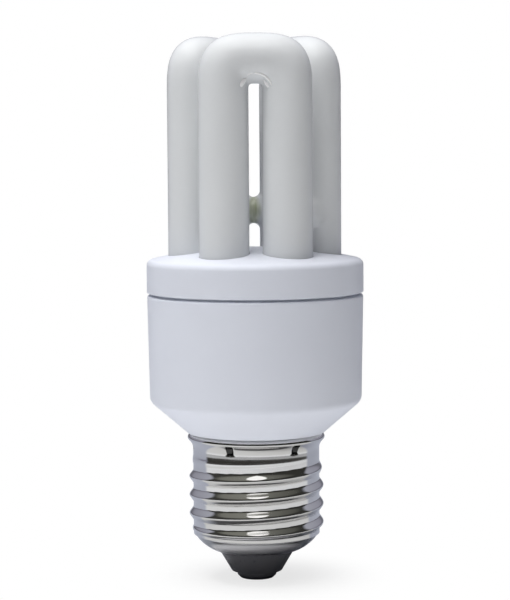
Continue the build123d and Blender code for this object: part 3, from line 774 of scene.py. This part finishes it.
# %% Rings of one bent tube
row_radius = leg_pitch * math.sqrt(3) / 2
bend_squareness = 3.0
arch_squareness = 4.0
press_height = 3.2 * mm
press_thickness = 2.8 * mm
press_width = 8.8 * mm
leg_end_round = 2.2 * mm
ring_points = 128
inner_arch = leg_pitch / 2 - tube_radius
outer_arch = leg_pitch / 2 + tube_radius
pivot = glass_top - outer_arch


def squared_arch(radius, squareness, turn):
    spread_out = abs(math.cos(turn)) ** squareness + abs(math.sin(turn)) ** squareness
    return radius / spread_out ** (1 / squareness)


def bend_section(turn):
    outward = Vector((math.cos(turn), 0, math.sin(turn)))
    far = squared_arch(outer_arch, bend_squareness, turn)
    near = squared_arch(inner_arch, arch_squareness, turn)
    return outward, (far + near) / 2, (far - near) / 2


def oval_ring(centre, outward, reach, depth, count):
    points = []
    for a in angles_round(count):
        points.append(centre + outward * (reach * math.cos(a)) + Vector((0, depth * math.sin(a), 0)))
    return points


def bent_ring(turn):
    outward, middle, half = bend_section(turn)
    centre = Vector((0, -row_radius, pivot)) + outward * middle
    return oval_ring(centre, outward, half, tube_radius, ring_points)


def leg_ring(side, height, across, along):
    middle = Vector((side * leg_pitch / 2, -row_radius, height))
    radial = Vector((middle.x, middle.y, 0)).normalized()
    tangent = Vector((-radial.y, radial.x, 0))
    points = []
    for a in angles_round(ring_points):
        spoke = Vector((side * math.cos(a), math.sin(a), 0))
        points.append(middle + radial * (spoke.dot(radial) * across) + tangent * (spoke.dot(tangent) * along))
    return points


# %% Legs, with their round or pressed ends
end_steps = 8
leg_steps = 12
bend_steps = 72


def end_ring(side, share, pressed):
    if pressed:
        across = press_thickness / 2 + (tube_radius - press_thickness / 2) * share
        along = press_width / 2 + (tube_radius - press_width / 2) * share
        return leg_ring(side, leg_end + press_height * share, across, along)
    turn = math.pi / 2 * share
    radius = tube_radius - leg_end_round * (1 - math.sin(turn))
    return leg_ring(side, leg_end + leg_end_round * (1 - math.cos(turn)), radius, radius)


def leg_rings(side, pressed):
    rings = [end_ring(side, k / end_steps, pressed) for k in range(end_steps + 1)]
    foot = leg_end + (press_height if pressed else leg_end_round)
    for k in range(1, leg_steps + 1):
        rings.append(leg_ring(side, foot + (pivot - foot) * k / leg_steps, tube_radius, tube_radius))
    return rings


def tube_rings(right_pressed, left_pressed):
    right = leg_rings(1, right_pressed)
    left = leg_rings(-1, left_pressed)
    middle = [bent_ring(math.pi * k / bend_steps) for k in range(1, bend_steps)]
    return right + middle + left[::-1]


print("rings in one tube:", len(tube_rings(False, True)))

# %% [markdown]
# A bridge is a sleeve between two tubes. Round its own axis, each of its lines starts on one tube's
# surface, leaves it along that surface, and curves smoothly into a narrow waist half way. That is a Hermite
# curve: two points and two directions. The same curve mirrored goes on to the other tube.

# %% Rings of one fused bridge
bridge_level = crown + 6.8 * mm
waist_radius = 2.6 * mm
root_radius = 3.75 * mm
bridge_steps = 14
root_pull = 1.6
waist_pull = 1.2
root_sink = Vector((-0.6 * mm, -0.9 * mm))
root_lap = Vector((-0.05 * mm, 0))


def hermite(start, start_run, end, end_run, share):
    s2, s3 = share ** 2, share ** 3
    return (start * (2 * s3 - 3 * s2 + 1) + start_run * (s3 - 2 * s2 + share)
            + end * (3 * s2 - 2 * s3) + end_run * (s3 - s2))


def bridge_line(spoke):
    aside = root_radius * math.cos(spoke)
    tube_x = math.sqrt(tube_radius ** 2 - aside ** 2) - leg_pitch / 2
    slope = aside * math.cos(spoke) / math.sqrt(tube_radius ** 2 - aside ** 2)
    start = Vector((tube_x, root_radius))
    start_run = Vector((slope, -1)).normalized() * (root_pull * (root_radius - waist_radius))
    end = Vector((0, waist_radius))
    end_run = Vector((-waist_pull * tube_x, 0))
    half = [hermite(start, start_run, end, end_run, k / bridge_steps) for k in range(bridge_steps + 1)]
    line = [start + root_sink, start + root_lap] + half
    return line + [Vector((-p.x, p.y)) for p in reversed(line[:-1])]


def bridge_rings():
    spokes = angles_round(ring_points)
    lines = [bridge_line(spoke) for spoke in spokes]
    rings = []
    for step in range(len(lines[0])):
        ring = []
        for spoke, line in zip(spokes, lines):
            along, out = line[step]
            level = bridge_level + out * math.sin(spoke)
            ring.append(Vector((along, out * math.cos(spoke) - row_radius, level)))
        rings.append(ring)
    return rings


# %% [markdown]
# At the tightest part of each bend the soft glass was pushed together and folded into a few creases that
# curve round the end of the slot. Each is a thin ridge that lies on the tube's outer face and dies out at
# both ends, so it is a row of small rings along an arc.

# %% Rings of one crease
crease_points = 12
crease_steps = 20
creases = [
    {"level": 3.1 * mm, "start": 10, "end": 98, "width": 0.30 * mm},
    {"level": 2.45 * mm, "start": 8, "end": 52, "width": 0.44 * mm},
    {"level": 2.75 * mm, "start": 126, "end": 170, "width": 0.50 * mm},
    {"level": 3.15 * mm, "start": 96, "end": 122, "width": 0.14 * mm},
]


def crease_rings(level, start, end, width):
    rings = []
    for step in range(1, crease_steps):
        share = step / crease_steps
        outward, middle, half = bend_section(math.radians(start + (end - start) * share))
        front = tube_radius * math.sqrt(1 - ((level - middle) / half) ** 2)
        centre = Vector((0, -row_radius - front, pivot)) + outward * level
        swell = width * math.sqrt(math.sin(math.pi * share))
        rings.append(oval_ring(centre, outward, swell, swell, crease_points))
    return rings


# %% [markdown]
# The rings of every tube, crease and bridge are turned to their places round the axis and skinned into one
# mesh. Two attributes go with the points: how far the powder is burnt away, and where a crease lies.

# %% Helpers for the vessel
def turn_about_axis(rings, degrees):
    spin = Quaternion((0, 0, 1), math.radians(degrees))
    return [[spin @ point for point in ring] for ring in rings]


def skin_rings(body, rings, layer, values):
    loops = []
    for ring, value in zip(rings, values):
        loop = [body.verts.new(point) for point in ring]
        for vert in loop:
            vert[layer] = value
        loops.append(loop)
    skin_row(body, loops)
    for loop in (loops[0], loops[-1]):
        centre = body.verts.new(sum((vert.co for vert in loop), Vector()) / len(loop))
        skin(body, [centre], loop)


# %% The whole vessel
vessel = bmesh.new()
layers = vessel.verts.layers.float
layers.new("fused")
layers.new("crease")
pressed_ends = ((0, False, True), (120, False, False), (240, True, False))
for degrees, right_pressed, left_pressed in pressed_ends:
    rings = turn_about_axis(tube_rings(right_pressed, left_pressed), degrees)
    skin_rings(vessel, rings, layers["fused"], [0.0] * len(rings))
    for fold in creases:
        rings = turn_about_axis(crease_rings(**fold), degrees)
        skin_rings(vessel, rings, layers["crease"], [1.0] * len(rings))
sleeve = bridge_rings()
sleeve_half = (len(sleeve) - 1) / 2
burn_core = 1.4
burn_fall = 3.2
thinned = []
for k in range(len(sleeve)):
    off_middle = burn_fall * abs(k - sleeve_half) / sleeve_half
    thinned.append(min(1.0, max(0.0, burn_core - off_middle)))
burnt_bridges = ((90, 1.0), (330, 0.0))
for bridge_angle, burn in burnt_bridges:
    burnt_share = [burn * share for share in thinned]
    skin_rings(vessel, turn_about_axis(sleeve, bridge_angle + 90), layers["fused"], burnt_share)
bmesh.ops.recalc_face_normals(vessel, faces=vessel.faces)
glass = new_piece("bent_glass_vessel", vessel, coated_glass)
seat(glass, "discharge_tube")

# %% [markdown]
# The lamp stands on a white sheet. Beyond the sheet the picture is plain white: the world answers
# camera rays with white, and the sheet fades into it with distance, so only the soft shadow near the
# lamp is left.

# %% White sheet as the light and the camera find it
paper, tree, shader, grain = new_finish("white_sheet", grain_size=0.4 * mm, cloud_size=20 * mm)
sheet_colour = blend_colours(tree, grain["Clouds"], (0.98, 0.98, 0.98, 1), (1.0, 1.0, 1.0, 1))
where = object_place(tree)
distance = add(tree, "ShaderNodeVectorMath", {0: where}, operation="LENGTH").outputs["Value"]
rays = add(tree, "ShaderNodeLightPath").outputs
plug_all(tree, shader, {
    "Roughness": graded(tree, grain["Grain"], 0.8, 0.95), "Specular IOR Level": 0.1})
far = spread(tree, distance, 5 * mm, 28 * mm, 0.76, 1.0, smooth=True)
whitened = sum_of(tree, "MULTIPLY", far, rays["Is Camera Ray"])
blank = add(tree, "ShaderNodeEmission", {"Color": (1, 1, 1, 1), "Strength": 1.0})
mix = add(tree, "ShaderNodeMixShader", {0: whitened, 1: shader.outputs[0], 2: blank.outputs[0]})
plug(tree, tree.nodes["Material Output"].inputs["Surface"], mix.outputs[0])
tell(tree, "white sheet")

# %% [markdown]
# Glossy rays find other colours on the floor, because the polished cap mirrors all of it: in front a white
# sheet that ends in a dark table, at the back a lilac grey, and close to the foot a narrow dark ring that is
# paler at the sides. The ring is a painted shadow of the lamp on the floor.

# %% Floor that the polished cap mirrors
near_sheet = (0.63, 0.63, 0.62, 1)
far_sheet = (0.78, 0.79, 0.80, 1)
dark_table = (0.045, 0.043, 0.04, 1)
lilac_back = (0.43, 0.45, 0.52, 1)
foot_light = (0.90, 0.90, 0.93, 1)
painted_foot_shadow = (0.10, 0.10, 0.10, 1)
painted_foot_shadow_side = (0.40, 0.42, 0.47, 1)
back_starts = 0.12
back_full = 0.26


def past(start, end):
    return spread(tree, distance, start, end, smooth=True)


across = add(tree, "ShaderNodeSeparateXYZ", {"Vector": where}).outputs["Y"]
backward = sum_of(tree, "DIVIDE", across, distance)
at_back = spread(tree, backward, back_starts, back_full, smooth=True)
at_side = spread(tree, backward, -0.45, 0.15, smooth=True)
mirrored_sheet = blend_colours(tree, past(50 * mm, 130 * mm), near_sheet, far_sheet)
front_colour = blend_colours(tree, past(150 * mm, 195 * mm), mirrored_sheet, dark_table)
around = blend_colours(tree, at_back, front_colour, lilac_back)
# Painted shadow: close to the foot the mirrored floor is dark, and paler at the sides.
foot_shade = blend_colours(tree, at_side, painted_foot_shadow, painted_foot_shadow_side)
foot_colour = blend_colours(tree, past(11.5 * mm, 14.5 * mm), foot_light, foot_shade)
mirrored_floor = blend_colours(tree, past(18 * mm, 23 * mm), foot_colour, around)
floor_colour = blend_colours(tree, rays["Is Glossy Ray"], sheet_colour, mirrored_floor)
plug(tree, shader.inputs["Base Color"], floor_colour)
tell(tree, "mirrored floor")

# %% The sheet itself
table_radius = 420 * mm
sheet_drop = 0.05 * mm
sheet_steps = 24
sheet_body = bmesh.new()
sheet_rings = []
for k in range(sheet_steps + 1):
    sheet_rings.append(turned_ring(sheet_body, table_radius * k / sheet_steps, -sheet_drop, 128))
skin_row(sheet_body, sheet_rings)
bmesh.ops.recalc_face_normals(sheet_body, faces=sheet_body.faces)
floor = new_piece("white_sheet", sheet_body, paper)
if floor.data.polygons[0].normal.z < 0:
    floor.data.flip_normals()
print("floor:", floor.name, "of", round(2 * table_radius, 2), "m")

# %% [markdown]
# The room is drawn by direction in the world's nodes. What polished metal mirrors is a lilac tent with an
# open front: beyond the opening the room is dark at eye level and a dull olive grey higher up. A plated
# screw cap is only as good as the room that it mirrors, so this room is kept for glossy rays alone.

# %% Directions in the room
world = bpy.data.worlds.new("studio")
bpy.context.scene.world = world
world.use_nodes = True
tree = world.node_tree
tree.nodes.clear()
plus, minus, times, over, power, root = arithmetic(tree, *sums)
toward = add(tree, "ShaderNodeTexCoord").outputs["Generated"]
axes = add(tree, "ShaderNodeSeparateXYZ", {"Vector": toward}).outputs


def ramp(tree, value, stops):
    node = add(tree, "ShaderNodeValToRGB", {"Fac": value})
    elements = node.color_ramp.elements
    while len(elements) < len(stops):
        elements.new(0.5)
    for element, (position, colour) in zip(elements, stops):
        element.position = position
        element.color = colour + (1.0,)
    return node.outputs["Color"]


# %% Tent and opening
rise = spread(tree, axes["Z"], -1.0, 1.0)
opening = ramp(tree, rise, [
    (0.00, (0.50, 0.50, 0.52)), (0.44, (0.30, 0.30, 0.30)), (0.455, (0.045, 0.044, 0.040)),
    (0.82, (0.05, 0.05, 0.045)), (0.86, (0.20, 0.20, 0.175)), (1.00, (0.28, 0.28, 0.25)),
])
tent = ramp(tree, rise, [
    (0.00, (0.42, 0.43, 0.53)), (0.46, (0.38, 0.39, 0.48)), (0.50, (0.15, 0.15, 0.17)),
    (0.54, (0.17, 0.17, 0.20)), (0.60, (0.31, 0.31, 0.37)), (0.78, (0.42, 0.43, 0.49)),
    (1.00, (0.46, 0.47, 0.53)),
])
behind = spread(tree, axes["Y"], back_starts, back_full, smooth=True)
to_right = spread(tree, axes["X"], -0.3, 0.7, 0.0, 0.6)
shaded_opening = blend_colours(tree, to_right, opening, (0.03, 0.03, 0.027, 1.0))
bare_room = blend_colours(tree, behind, shaded_opening, tent)
tell(tree, "tent")

# %% [markdown]
# Above the camera hangs one bright lamp, wide at its top and pointed below. On each turn of the thread it is
# mirrored as a lens of light. It is drawn with two edges: a straight taper below and a slightly sagging top.

# %% Lamp that the thread mirrors
lamp_colour = (1.28, 1.27, 1.25, 1.0)
lamp_shift = 0.06
lamp_reach = 0.55
point_level = 0.70
corner_level = 0.886
top_level = 0.877
top_sag = 0.057
level_share = root(minus(1.0, power(axes["Z"], 2.0)))
aside = sum_of(tree, "ABSOLUTE", plus(over(axes["X"], level_share), lamp_shift))
taper = spread(tree, aside, 0.0, lamp_reach, point_level, corner_level)
above_taper = spread(tree, minus(axes["Z"], taper), -0.008, 0.008)
top_edge = minus(top_level, times(power(aside, 2.0), top_sag))
below_top = spread(tree, minus(axes["Z"], top_edge), -0.001, 0.001, 1.0, 0.0)
in_front = sum_of(tree, "LESS_THAN", axes["Y"], 0.0)
lens = times(times(above_taper, below_top), in_front)
mirrored = blend_colours(tree, lens, bare_room, lamp_colour)
tell(tree, "mirrored lamp")

# %% [markdown]
# The light that falls on matt surfaces is softer and simpler than the mirrored room, brighter from the left
# than from the right. The camera itself sees plain white. The kind of ray chooses between the three.

# %% The world
soft_light = ramp(tree, spread(tree, axes["X"], -1.0, 1.0), [
    (0.0, (0.20, 0.21, 0.22)), (0.45, (0.08, 0.08, 0.09)), (1.0, (0.0, 0.0, 0.008)),
])
light_path = add(tree, "ShaderNodeLightPath").outputs
room = blend_colours(tree, light_path["Is Glossy Ray"], soft_light, mirrored)
plain = sum_of(tree, "MAXIMUM", light_path["Is Camera Ray"], light_path["Is Transmission Ray"])
backdrop = blend_colours(tree, plain, room, (1, 1, 1, 1))
sky = add(tree, "ShaderNodeBackground", {"Color": backdrop, "Strength": 1.0})
add(tree, "ShaderNodeOutputWorld", {"Surface": sky.outputs[0]})
tell(tree, world.name)

# %% [markdown]
# Three soft lamps do the lighting: a wide panel overhead, an oval softbox above the camera, and a large
# fill at the left front, which makes the left side of the housing lighter than the right. None of them
# shows in the polished metal, which has the drawn lamp instead.

# %% Studio lamps
middle_of_lamp = Vector((0, 0, 50 * mm))


def soft_lamp(name, azimuth, elevation, distance, width, depth, power, colour):
    data = bpy.data.lights.new(name, "AREA")
    data.shape = "ELLIPSE"
    data.size = width
    data.size_y = depth
    data.energy = power
    data.color = colour
    lamp = bpy.data.objects.new(name, data)
    turn, up = math.radians(azimuth), math.radians(elevation)
    away = Vector((math.sin(turn) * math.cos(up), -math.cos(turn) * math.cos(up), math.sin(up)))
    lamp.location = middle_of_lamp + away * distance
    lamp.rotation_mode = "QUATERNION"
    lamp.rotation_quaternion = away.to_track_quat("Z", "Y")
    lamp.visible_glossy = False
    link(lamp)
    print(name, [round(v, 3) for v in lamp.location])


soft_lamp("overhead_panel", azimuth=-60, elevation=80, distance=0.75, width=0.60, depth=0.60,
          power=6.9, colour=(1.0, 1.0, 1.0))
soft_lamp("front_softbox", azimuth=-16, elevation=53, distance=0.80, width=0.52, depth=0.24,
          power=0.75, colour=(1.0, 0.99, 0.97))
soft_lamp("left_fill", azimuth=-62, elevation=20, distance=0.80, width=0.60, depth=0.60,
          power=0.24, colour=(0.97, 0.98, 1.0))

# %% [markdown]
# The camera stands where the photograph was taken: straight in front, a little above, and near enough
# that the far tubes look smaller than the front one. The lens is set so that the frame is 116.5 mm tall at
# the axis. A very small lean follows the photograph, where the lamp isn't quite upright.

# %% Camera
viewing_distance = 400 * mm
viewing_turn = math.radians(-1.24)
eye_level = 86.2 * mm
aim_level = 54.4 * mm
aim_side = -0.05 * mm
frame_height = 116.5 * mm
frame_lean = math.radians(-0.38)
camera_data = bpy.data.cameras.new("photo_camera")
camera_data.sensor_width = 36
camera_data.lens = camera_data.sensor_width * viewing_distance / frame_height
camera = bpy.data.objects.new("photo_camera", camera_data)
target = Vector((aim_side, 0, aim_level))
climb = eye_level - aim_level
back = math.sqrt(viewing_distance ** 2 - climb ** 2)
camera.location = target + Vector((math.sin(viewing_turn) * back, -math.cos(viewing_turn) * back, climb))
look = (target - camera.location).to_track_quat("-Z", "Y")
lean = Quaternion((0, 0, 1), frame_lean)
camera.rotation_mode = "QUATERNION"
camera.rotation_quaternion = look @ lean
link(camera)
bpy.context.scene.camera = camera
bpy.context.scene.view_settings.view_transform = "Standard"
print("lens in mm:", round(camera_data.lens, 1))
